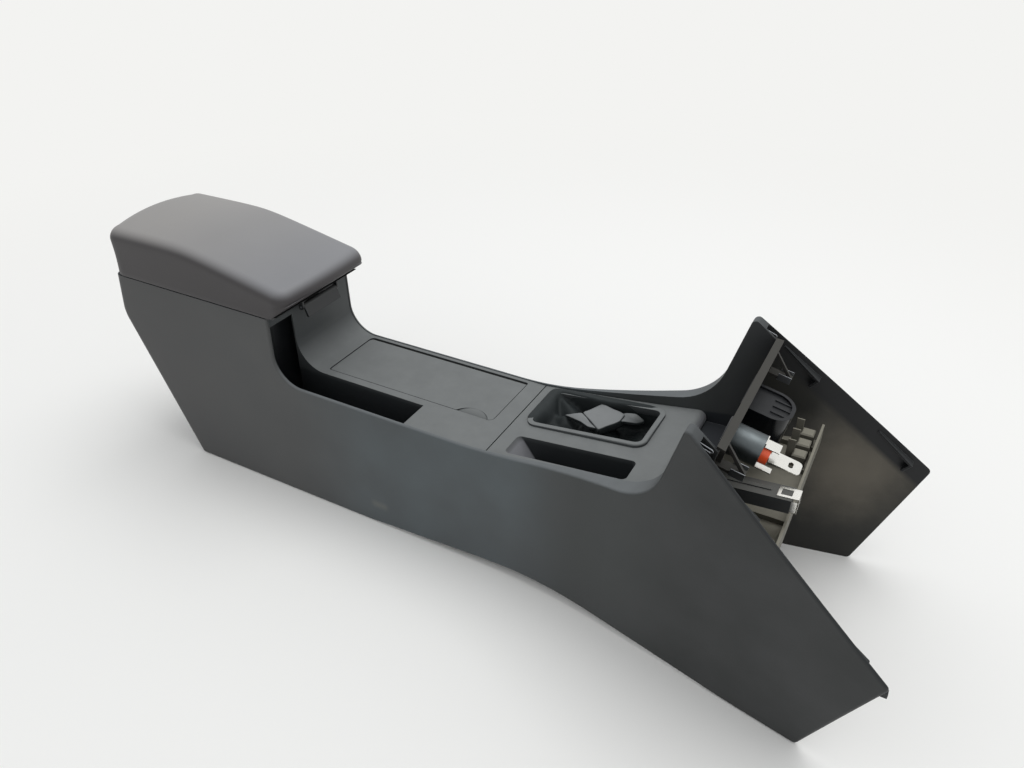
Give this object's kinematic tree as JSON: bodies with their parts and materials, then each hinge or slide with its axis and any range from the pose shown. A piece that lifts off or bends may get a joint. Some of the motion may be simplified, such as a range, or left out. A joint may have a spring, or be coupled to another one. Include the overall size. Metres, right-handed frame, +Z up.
{
  "type": "car center console",
  "caption": "Long moulded car center console with a padded armrest lid over a bin, a cup holder under a flap, a handbrake slot, a shift boot and flared wings.",
  "frame": {"origin": "bottom centre of the console's box, on the floor it stands on", "axes": "+X forward to the dash end, +Y to the left seat side that is away from the handbrake slot, +Z up"},
  "size_m": [1.01, 0.326, 0.332],
  "materials": {
    "body_plastic": "moulded, fine grain, dark slate grey",
    "panel_plastic": "moulded, fine grain, dusty grey",
    "inner_plastic": "moulded, black",
    "armrest_vinyl": "grained vinyl over foam",
    "boot_leather": "soft black leather, creased",
    "black_gloss": "smooth black moulding",
    "hinge_steel": "plated steel",
    "socket_steel": "drawn steel barrel",
    "tinned_brass": "bright tinned strip",
    "red_insulator": "red orange insulator",
    "grey_holder": "grey ribbed moulding",
    "dusty_bracket": "moulded, coated in pale dust"
  },
  "bodies": {
    "console": {"console_body": "body_plastic", "bin_liner": "inner_plastic", "armrest_hinge_bracket": "hinge_steel", "armrest_hinge_pin": "hinge_steel", "hinge_screws": "hinge_steel", "cup_panel": "panel_plastic", "cup_insert": "inner_plastic", "cup_lid_pin": "hinge_steel", "shift_panel": "panel_plastic", "boot_frame": "panel_plastic", "shift_boot": "boot_leather", "front_panel": "body_plastic", "socket_shell": "socket_steel", "socket_bezel": "black_gloss", "socket_insulator": "red_insulator", "socket_contact": "tinned_brass", "socket_terminals": "tinned_brass", "second_housing": "inner_plastic", "second_cover": "panel_plastic", "lamp_holder": "grey_holder", "lamp_clip": "tinned_brass", "trim_clips": "hinge_steel", "cross_bracket": "dusty_bracket", "bracket_screws": "hinge_steel"},
    "armrest_lid": {"armrest_lid_frame": "body_plastic", "armrest_pad": "armrest_vinyl", "latch_pin": "hinge_steel", "latch_spring": "hinge_steel"},
    "latch": {"latch_paddle": "black_gloss"},
    "cup_lid": {"cup_lid": "panel_plastic"}
  },
  "joints": [
    {"name": "armrest_hinge", "type": "hinge", "parent": "console", "child": "armrest_lid", "pos_m": [-0.49997, 0, 0.2595], "axis": [0, -1, 0], "range_deg": [0, 80]},
    {"name": "latch_release", "type": "hinge", "parent": "armrest_lid", "child": "latch", "pos_m": [-0.22397, 0.008, 0.253], "axis": [0, -1, 0], "range_deg": [0, 20], "stiffness_Nm_per_rad": 0.05, "springref_deg": -17.19},
    {"name": "cup_lid_hinge", "type": "hinge", "parent": "console", "child": "cup_lid", "pos_m": [-0.07572, 0.064, 0.1652], "axis": [-1, 0, 0], "range_deg": [0, 90]}
  ]
}
